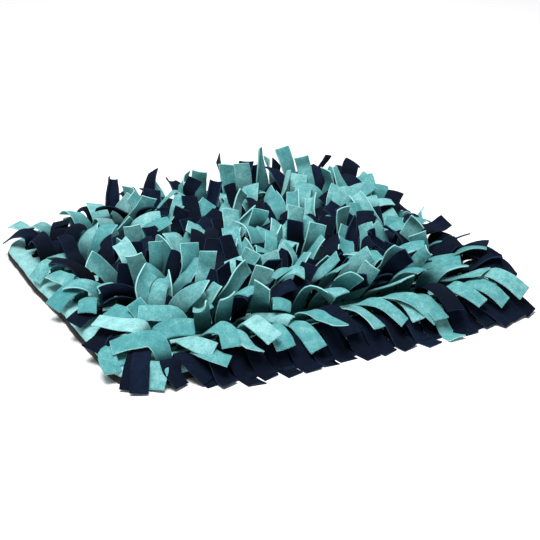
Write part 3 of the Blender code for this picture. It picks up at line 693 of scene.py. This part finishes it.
# everything that a new tail has to miss, with all the boxes in two arrays for a quick first test
class Pile:
    def __init__(self):
        self.things, self.lows, self.highs, self.alive = [], np.zeros((0, 3)), np.zeros((0, 3)), []

    def add(self, thing):
        self.things.append(thing)
        self.lows = np.vstack([self.lows, thing["low"]])
        self.highs = np.vstack([self.highs, thing["high"]])
        self.alive.append(True)
        return len(self.things) - 1

    def near(self, points, posts):
        # what may be touched, by the boxes alone
        corners, pairs = np.array(points), zip(self.alive, self.things)
        counts = np.array([alive and (posts or not thing.get("isPost")) for alive, thing in pairs], bool)
        close = (corners.min(0) <= self.highs).all(1) & (self.lows <= corners.max(0)).all(1)
        return [self.things[i]["tree"] for i in np.nonzero(close & counts)[0]]

    def misses(self, points, triangles, posts=True):
        near = self.near(points, posts)
        tree = BVHTree.FromPolygons(points, triangles) if near else None
        return not any(tree.overlap(other) for other in near)

    def crossed(self, points, faces):
        tree = BVHTree.FromPolygons(points, faces)
        return sum(len(tree.overlap(other)) for other in self.near(points, True))


# the pad's solid: inset and height of each ring up its rim, in mm
solidRings = ((0.2, 5.3), (-0.6, 8.0), (0.9, 11.6), (4.2, 14.1), (9.0, 15.0))


def padObstacle():
    loops = [[Vector((*p, z * mm)) for p in outline(inset * mm)] for inset, z in solidRings]
    count, faces = len(loops[0]), []
    for low in range(0, (len(loops) - 1) * count, count):
        for i in range(count):
            j = (i + 1) % count
            faces.append((low + i, low + j, low + count + j, low + count + i))
    faces.append(tuple(reversed(range(count))))
    faces.append(tuple(range((len(loops) - 1) * count, len(loops) * count)))
    return obstacle([p for loop in loops for p in loop], faces)


def bandSpan(row):
    columns = rowColumns(row)
    return columnX(columns[0], row) - fringe["bandEnd"], columnX(columns[-1], row) + fringe["bandEnd"]


def crownHeight(x):
    return float(np.interp(x / mm, [c[0] for c in crown], [c[1] for c in crown])) * mm


def inReach(points, row):
    low = cornerReachX if row >= cornerRow else reachX[0]
    within = all(low <= p.x <= reachX[1] and reachY[0] <= p.y <= reachY[1] for p in points)
    return within and all(p.z <= crownHeight(p.x) for p in points)


def isTwisted(points):
    widths = [(points[i + 1] - points[i]).normalized() for i in range(0, len(points), 4)]
    return any(first.dot(second) < tailCut["leastTurnShare"] for first, second in zip(widths, widths[1:]))


def listRoots():
    # listed laid tails come first, then the listed standing tails, then all others
    roots = []
    for row in range(fringe["rows"]):
        for column in rowColumns(row):
            dice = random.Random(1000 * row + column)
            layer = layerOf(row, column, dice.random())
            place = rootPlace(row, column, layer)
            roots.append({"row": row, "column": column, "layer": layer, "place": place, "dice": dice})
    order = {key: number for number, key in enumerate(byHand, -len(byHand))}
    return sorted(roots, key=lambda root: order.get((root["row"], root["column"]), 0))


def shellOf(place, tail, grow, lift):
    shell = tailSections(place, tail, grow)
    for corner in shell[:4]:
        corner.z += lift
    return shell


def placeTails():
    pile, tails = Pile(), []
    pile.add(padObstacle())
    for row in range(fringe["rows"]):
        startX, endX = bandSpan(row)
        for offset in fringe["offset"].values():
            y = rowY(row) + offset
            low = Vector((startX, y - fringe["bandWidth"] / 2, fringe["bandZ"]))
            high = Vector((endX, y + fringe["bandWidth"] / 2, fringe["bandZ"] + fringe["bandHeight"]))
            pile.add(blockObstacle(low, high))
    clearance = tailCut["clearance"]
    halfPost = Vector((tailCut["rootWidth"] / 2, tailCut["solidThick"] / 2, 0))
    roots = listRoots()
    for root in roots:
        foot = root["place"] + Vector((0, 0, 2 * clearance))
        post = blockObstacle(foot - halfPost, foot + halfPost + Vector((0, 0, tailCut["post"])))
        root["post"] = pile.add(post | {"isPost": True})
    for root in roots:
        row, column = root["row"], root["column"]
        pile.alive[root["post"]] = False
        known = byHand.get((row, column))
        for attempt in range(tailCut["tries"]):
            given = attempt == 0 and known
            if given:
                length = known["length"] * mm if "length" in known else tailCut["byHand"]
                tail = known | {"length": length, "skew": 0.0, "falls": False}
            else:
                tail = chooseTail(row, column, attempt, root["dice"])
            shell = shellOf(root["place"], tail, clearance, 2 * clearance)
            if not given and (not inReach(shell, row) or isTwisted(shell)):
                continue
            if min(p.z for p in shell) < -clearance - 1e-6:
                continue
            triangles = sideTriangles(len(shell) // 4)
            if pile.misses(shell, triangles, posts=not given):
                pile.add(obstacle(shell, triangles))
                stood = {"root": root["place"], "row": row, "column": column, "layer": root["layer"]}
                tails.append(tail | stood)
                break
    return tails, pile


tails, pile = placeTails()
print("tails stood:", len(tails))

# the band's other colour also has a tail at each place, and there are tails half a place along; they fill in
# the pile where they find room, a little shorter, and mostly upright behind the front rows
filler = {"tries": 70, "shortest": 42 * mm, "longest": 60 * mm, "shorter": 0.3, "lift": 0.6 * mm,
          "firstUpright": 3, "leftColumn": 1, "lean": 9, "bend": (12, 16), "over": 2.4, "secondOver": 2.6}
frontLayers = ("navy", "aqua")  # the fillers of the first two rows


def fillerSlots(tails):
    taken = {(tail["row"], tail["column"], tail["layer"]) for tail in tails}
    slots = []
    for row in range(fringe["rows"]):
        columns = rowColumns(row)
        layers = ("aqua", "navy") if row >= len(frontLayers) else (frontLayers[row],)
        for column in columns:
            slots += [(row, column, layer) for layer in layers if (row, column, layer) not in taken]
            if column < columns[-1]:
                slots += [(row, column + 0.5, layer) for layer in layers]
    return slots


def fillPile(tails, pile):
    added = []
    for row, column, layer in fillerSlots(tails):
        dice = random.Random(f"{row} {column} {layer}")
        place = rootPlace(row, column, layer)
        for attempt in range(filler["tries"]):
            tail = chooseTail(row, int(column), attempt, dice)
            if tail["falls"]:
                over = filler["over"] * (attempt % 4) + (filler["secondOver"] if row else 0)
                tail |= {"over": over, "length": tailCut["longest"]}
            else:
                shorter = 1 - filler["shorter"] * attempt / filler["tries"]
                tail["length"] = dice.uniform(filler["shortest"], filler["longest"]) * shorter
            if row >= filler["firstUpright"] and column > filler["leftColumn"] and attempt % 3:
                start = abs(dice.gauss(0, filler["lean"]))
                tail |= {"heading": dice.uniform(-180, 180), "start": start,
                         "end": start + dice.gauss(*filler["bend"]), "spin": dice.uniform(-90, 90)}
            shell = shellOf(place, tail, 0.0, filler["lift"])
            if not inReach(shell, row) or min(p.z for p in shell) < 0:
                continue
            triangles = sideTriangles(len(shell) // 4)
            if pile.misses(shell, triangles):
                pile.add(obstacle(shell, triangles))
                added.append(tail | {"root": place, "row": row, "column": column, "layer": layer})
                break
    return added


# short navy tails that hang below the first row's and close the gaps between them; x is from the root
underlay = {"y": -191.5, "z": 16.6, "length": 41 * mm, "first": (1, -198, 18.2), "second": (3.5, -211, 3.8),
            "tip": (6.5, -226, 1.0)}


def hangUnderlay():
    hung = []
    for column in rowColumns(0)[1:-1]:
        x = columnX(column + 0.5) / mm
        stops = {stop: (x + underlay[stop][0], *underlay[stop][1:]) for stop in ("first", "second", "tip")}
        root = Vector((x, underlay["y"], underlay["z"])) * mm
        hung.append(stops | {"root": root, "row": 0, "column": column + 0.25, "layer": "navy",
                             "length": underlay["length"], "skew": 0.0, "falls": False, "tilt": 0})
    return hung


# tails that only fill in the two front corners and the right side; the root is a place in mm too
cornerColumns = ("row", "column", "layer", "root", "first", "second", "tip", "tilt")
cornerTails = (
    (1, 0.25, "aqua", (-190, -146, 18), (-208, -150, 24), (-226, -160, 24), (-228, -180, 12), 8),
    (1, 0.35, "navy", (-187, -156, 18), (-197, -170, 23), (-209, -186, 17), (-221, -203, 3), 12),
    (0, 0.75, "aqua", (-181, -187, 17), (-185, -195, 20), (-191, -204, 12), (-198, -213, 3), 18),
    (0, 1.35, "navy", (-172, -188, 17), (-175, -196, 22), (-176, -206, 13), (-171, -217, 3), 4),
    (0, 2.85, "aqua", (-140, -186, 18), (-142, -196, 27), (-135, -208, 25), (-121, -218, 19), 14),
    (2, 18.75, "navy", (203, -132, 18), (214, -150, 40), (228, -162, 38), (240, -172, 24), 20),
    (1, 17.75, "navy", (190, -170, 18), (205, -188, 22), (219, -203, 16), (231, -219, 3), 10),
    (0, 16.75, "navy", (163, -189, 18), (167, -198, 21), (171, -211, 12), (177, -226, 3), 4),
    (3, 18.75, "navy", (203, -113, 18), (214, -113, 31), (228, -114, 28), (240, -116, 15), 6),
    (4, 18.75, "navy", (204, -90, 18), (216, -91, 30), (229, -92, 27), (240, -94, 14), 6),
    (0, 17.25, "navy", (184, -183, 18), (198, -196, 20), (206, -209, 12), (213, -224, 3), 6),
)


def fillCorners():
    filled = []
    for values in cornerTails:
        tail = dict(zip(cornerColumns, values))
        filled.append(tail | {"root": Vector(tail["root"]) * mm, "length": tailCut["byHand"], "skew": 0.0,
                              "falls": False})
    return filled


added = fillPile(tails, pile) + hangUnderlay() + fillCorners()
tails += added
print("tails filled in:", len(added))


# one flat tail, cut once and copied
flatTail = {"cells": (5, 15), "length": 60 * mm, "hem": 0.9 * mm, "thick": 1.7 * mm, "rounding": 0.45 * mm,
            "tuck": 1.6 * mm, "tuckShare": 0.035}


def cutFlatTail():
    bpy.ops.object.select_all(action="DESELECT")
    cellsX, cellsY = flatTail["cells"]
    bpy.ops.mesh.primitive_grid_add(x_subdivisions=cellsX, y_subdivisions=cellsY, size=1)
    tail = bpy.context.object
    tail.name = "flatTail"
    length = flatTail["length"]
    bpy.ops.object.mode_set(mode="EDIT")
    bpy.ops.mesh.select_all(action="SELECT")
    bpy.ops.transform.resize(value=(tailCut["width"], length, 1))
    bpy.ops.mesh.inset(thickness=flatTail["hem"], depth=0)
    bpy.ops.object.mode_set(mode="OBJECT")
    for material in (fleece["aqua"], cutFleece["aqua"]):
        tail.data.materials.append(material)
    wall = tail.modifiers.new("clothThickness", "SOLIDIFY")
    wall.thickness, wall.offset, wall.material_offset_rim = flatTail["thick"], 0.0, 1
    edge = tail.modifiers.new("softEdge", "BEVEL")
    edge.width, edge.segments = flatTail["rounding"], 1
    edge.limit_method, edge.angle_limit = "ANGLE", math.radians(60)
    bpy.ops.object.modifier_apply(modifier=wall.name)
    bpy.ops.object.modifier_apply(modifier=edge.name)
    bpy.ops.object.shade_smooth()
    points = pointsOf(tail.data)
    points[:, 1] = (points[:, 1] + length / 2) / length  # y is now the share of the tail's length
    return tail, points


pattern, patternPoints = cutFlatTail()
print("flat tail has", len(pattern.data.polygons), "faces")


# bending the tails
flow = {"stations": 49, "rootPull": 0.7}


def smoothLine(tail):
    # places and directions up the middle of the tail, on a smooth curve through its solid's stations
    line = lineOf(tail["root"], tail)
    places = np.array([p for p, along, share in line])
    alongs = np.array([(0, 0, 1) if share == 0 else along for p, along, share in line])
    chords = np.linalg.norm(np.diff(places, axis=0), axis=1)
    shares = np.linspace(0, 1, flow["stations"])
    segment = np.minimum((shares * len(chords)).astype(int), len(chords) - 1)
    t = shares * len(chords) - segment
    p0, p1 = places[segment], places[segment + 1]
    m0, m1 = alongs[segment] * chords[segment, None], alongs[segment + 1] * chords[segment, None]
    m0[segment == 0] *= flow["rootPull"]
    t = t[:, None]
    spot = (2 * t**3 - 3 * t**2 + 1) * p0 + (t**3 - 2 * t**2 + t) * m0
    spot = spot + (3 * t**2 - 2 * t**3) * p1 + (t**3 - t**2) * m1
    way = (6 * t**2 - 6 * t) * (p0 - p1) + (3 * t**2 - 4 * t + 1) * m0 + (3 * t**2 - 2 * t) * m1
    way /= np.linalg.norm(way, axis=1)[:, None]
    frames = [frameAt(tail, Vector(w), s, line[-1][1]) for w, s in zip(way, shares)]
    across, through = (np.array([f[k] for f in frames]) for k in (0, 1))
    return shares, spot, way, across, through


fullTurn = 6.28
drape = {"curl": 20, "strongCurl": 75, "strongCurls": (0.7, 1.1), "strongShare": 0.16, "curlFrom": 0.35,
         "leastCurl": 0.25, "leastBend": 1e-3, "level": 0.58, "sway": 13, "waves": (0.6, 1.5), "swayFrom": 0.4,
         "twist": 24, "twistFrom": 0.15, "kink": (24, 62), "kinkShare": 0.34, "kinkAt": (0.4, 0.78),
         "kinkLength": 0.16, "flutter": 1.0 * mm, "flutterWave": 3.6, "widthChange": 0.03, "taperShare": 0.28,
         "raggedEdge": 0.22 * mm, "raggedWaves": (19, 7.3), "edgeFrom": 0.4, "slantFrom": 0.8,
         "slantLength": 0.2}
# how much of its drape a tail may take where it falls or is laid, and how far up from its root the painted
# shade reaches; the tails are darkened near their roots to stand in for the shade deep in the pile
dampedDrape = {"firstRow": 0.3, "secondRow": 0.6, "laid": 0.15, "floorTip": 5, "lowest": 0.02 * mm}
rootPaintedShade = {"most": 0.92, "end": 0.75, "laidShare": 0.4}
drapeTries = (1.0, 0.8, 0.6, 0.4, 0.2, 0.0)


def drapeOf(dice):
    curl = dice.gauss(0, drape["curl"])
    if dice.random() < drape["strongShare"]:
        curl = math.copysign(drape["strongCurl"], curl) * dice.uniform(*drape["strongCurls"])
    kink = dice.uniform(*drape["kink"]) * dice.choice((-1, 1)) if dice.random() < drape["kinkShare"] else 0.0
    return {"curl": math.radians(curl), "sway": math.radians(dice.gauss(0, drape["sway"])),
            "waves": dice.uniform(*drape["waves"]), "phase": dice.uniform(0, fullTurn),
            "twist": math.radians(dice.gauss(0, drape["twist"])), "kink": math.radians(kink),
            "kinkAt": dice.uniform(*drape["kinkAt"]), "flutter": dice.gauss(0, 1) * drape["flutter"],
            "width": 1 + dice.gauss(0, drape["widthChange"]), "seed": dice.uniform(0, 90)}


def turned(first, second, angle):
    return first * np.cos(angle) + second * np.sin(angle), second * np.cos(angle) - first * np.sin(angle)


def swayLine(line, look, strength):
    # the tail bends back and forth along its length, may kink once, and twists towards its tip
    shares, spot, way, across, through = line
    grown = smoothStep(shares / drape["swayFrom"])
    turn = look["sway"] * np.sin(look["waves"] * fullTurn * shares + look["phase"]) * grown
    turn = turn + look["kink"] * smoothStep((shares - look["kinkAt"]) / drape["kinkLength"])
    turn = (turn * strength)[:, None]
    newWay, newThrough = turned(way, through, turn)
    steps = np.linalg.norm(np.diff(spot, axis=0), axis=1)[:, None]
    newSpot = np.vstack([spot[:1], spot[0] + np.cumsum((newWay[1:] + newWay[:-1]) / 2 * steps, axis=0)])
    grown = smoothStep((shares - drape["twistFrom"]) / (1 - drape["twistFrom"]))
    twist = (look["twist"] * strength * grown)[:, None]
    return shares, newSpot, newWay, *turned(across, newThrough, twist)


def bendTail(tail, look, strength):
    shares, spot, way, across, through = swayLine(tail["line"], look, strength)
    x, s, z = patternPoints.T
    length = tail["length"]
    narrow = tailCut["rootWidth"] / tailCut["width"]
    taper = narrow + (1 - narrow) * smoothStep(s / drape["taperShare"])
    short, long = drape["raggedWaves"]
    ragged = drape["raggedEdge"] * np.sin(s * short + look["seed"]) * np.sin(s * long + look["seed"] * 2)
    x = x * taper * look["width"] + ragged * np.sign(x) * (abs(x) > tailCut["width"] * drape["edgeFrom"])
    half = tailCut["width"] / 2
    grown = smoothStep(s / drape["curlFrom"])
    bend = look["curl"] * strength / half * (drape["leastCurl"] + (1 - drape["leastCurl"]) * grown) * grown
    bend = np.where(abs(bend) < drape["leastBend"], drape["leastBend"], bend)
    spread, lift = np.sin(bend * x) / bend, (1 - np.cos(bend * x)) / bend
    lift = lift - (1 - np.cos(bend * half * drape["level"])) / bend
    nx, nz = -np.sin(bend * x), np.cos(bend * x)
    wave = look["flutter"] * x / half * np.sin(s * drape["flutterWave"] + look["phase"]) * grown
    spread, lift = spread + nx * z, lift + nz * z + wave
    slant = tail["skew"] * x / half * smoothStep((s - drape["slantFrom"]) / drape["slantLength"])
    low = np.minimum(s, 0)
    at = np.clip(s, 0, 1)
    middle, side, up, on = (np.stack([np.interp(at, shares, v[:, k]) for k in range(3)], axis=1)
                            for v in (spot, across, through, way))
    points = middle + side * spread[:, None] + up * lift[:, None] + on * slant[:, None]
    points[:, 2] += low * length
    sink = s < flatTail["tuckShare"]
    points[sink, 2] -= flatTail["tuck"] * (1 - s[sink] / flatTail["tuckShare"])
    return points


# the bands take painted shade: shade darkens them nearly to the root colour, since they lie in the shade under
# their tails
bandLook = {"rounding": 0.8 * mm, "tone": 0.3, "shade": 0.9}


def makeBand(row, layer, group):
    name = f"fringe{row + 1:02d}{layer.capitalize()}"
    roots = [tail["root"].x for tail in group if tail["column"] % 1 == 0]
    startX, endX = min(roots) - fringe["bandEnd"], max(roots) + fringe["bandEnd"]
    y = rowY(row) + fringe["offset"][layer]
    bpy.ops.object.select_all(action="DESELECT")
    bpy.ops.mesh.primitive_cube_add(size=1)
    band = bpy.context.object
    band.name = name
    bpy.ops.object.mode_set(mode="EDIT")
    bpy.ops.transform.resize(value=(endX - startX, fringe["bandWidth"], fringe["bandHeight"]))
    bpy.ops.transform.translate(value=((startX + endX) / 2, y, fringe["bandZ"] + fringe["bandHeight"] / 2))
    bpy.ops.mesh.bevel(offset=bandLook["rounding"], segments=2, affect="EDGES")
    bpy.ops.object.mode_set(mode="OBJECT")
    band.data.materials.append(fleece[layer])
    band.data.materials.append(cutFleece[layer])
    setAttribute(band.data, "tailTone", bandLook["tone"])
    setAttribute(band.data, "rootShade", bandLook["shade"])
    bpy.ops.object.shade_smooth()
    copies = []
    for number, tail in enumerate(group):
        mesh = pattern.data.copy()
        mesh.vertices.foreach_set("co", tail["points"].ravel())
        setAttribute(mesh, "tailTone", tail["tone"])
        setAttribute(mesh, "rootShade", tail["shade"])
        mesh.materials[0], mesh.materials[1] = fleece[layer], cutFleece[layer]
        copy = bpy.data.objects.new(f"{name}Tail{number:02d}", mesh)
        bpy.context.scene.collection.objects.link(copy)
        copy.select_set(True)
        copies.append(copy)
    if copies:
        bpy.ops.object.join()
    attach(band, "root")
    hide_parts(f"fringe_{row + 1:02d}_{layer}")


def mostDrape(tail):
    if tail["falls"]:
        return dampedDrape["secondRow" if tail["row"] else "firstRow"]
    if "tip" in tail:
        return dampedDrape["laid"] if tail["tip"][2] > dampedDrape["floorTip"] else 0.0
    return 1.0


def drapeTails(tails):
    # each tail takes the liveliest drape that keeps it off those already draped
    faces = [tuple(face.vertices) for face in pattern.data.polygons]
    draped = Pile()
    for tail in tails:
        dice = random.Random(f"{tail['row']} {tail['column']} {tail['layer']} drape")
        look, most = drapeOf(dice), mostDrape(tail)
        tail["tone"], tail["line"] = dice.triangular(0, 1), smoothLine(tail)
        # painted shade on each tail: darkest at its root and fading out along its length, over a shorter reach
        # on tails that fall or are laid
        paintedShadeEnd = rootPaintedShade["end"] * (rootPaintedShade["laidShare"] if tail["falls"] or "tip" in tail else 1)
        tail["shade"] = rootPaintedShade["most"] * (1 - smoothStep(patternPoints[:, 1] / paintedShadeEnd))
        best = None
        for strength in drapeTries:
            points = bendTail(tail, look, strength * most)
            if points[:, 2].min() < 0 and not tail["falls"]:
                continue
            crossed = draped.crossed(points.tolist(), faces)
            if best is None or crossed < best[0]:
                best = (crossed, points)
            if not crossed:
                break
        points = best[1] if best else bendTail(tail, look, 0.0)
        points[:, 2] = np.maximum(points[:, 2], dampedDrape["lowest"])
        tail["points"] = points
        draped.add(obstacle(points.tolist(), faces))


drapeTails(tails)
print("tails are draped")
for row in range(fringe["rows"]):
    for layer in ("aqua", "navy"):
        makeBand(row, layer, [tail for tail in tails if tail["row"] == row and tail["layer"] == layer])
bpy.data.objects.remove(pattern)
print("fringe is sewn:", 2 * fringe["rows"], "bands")
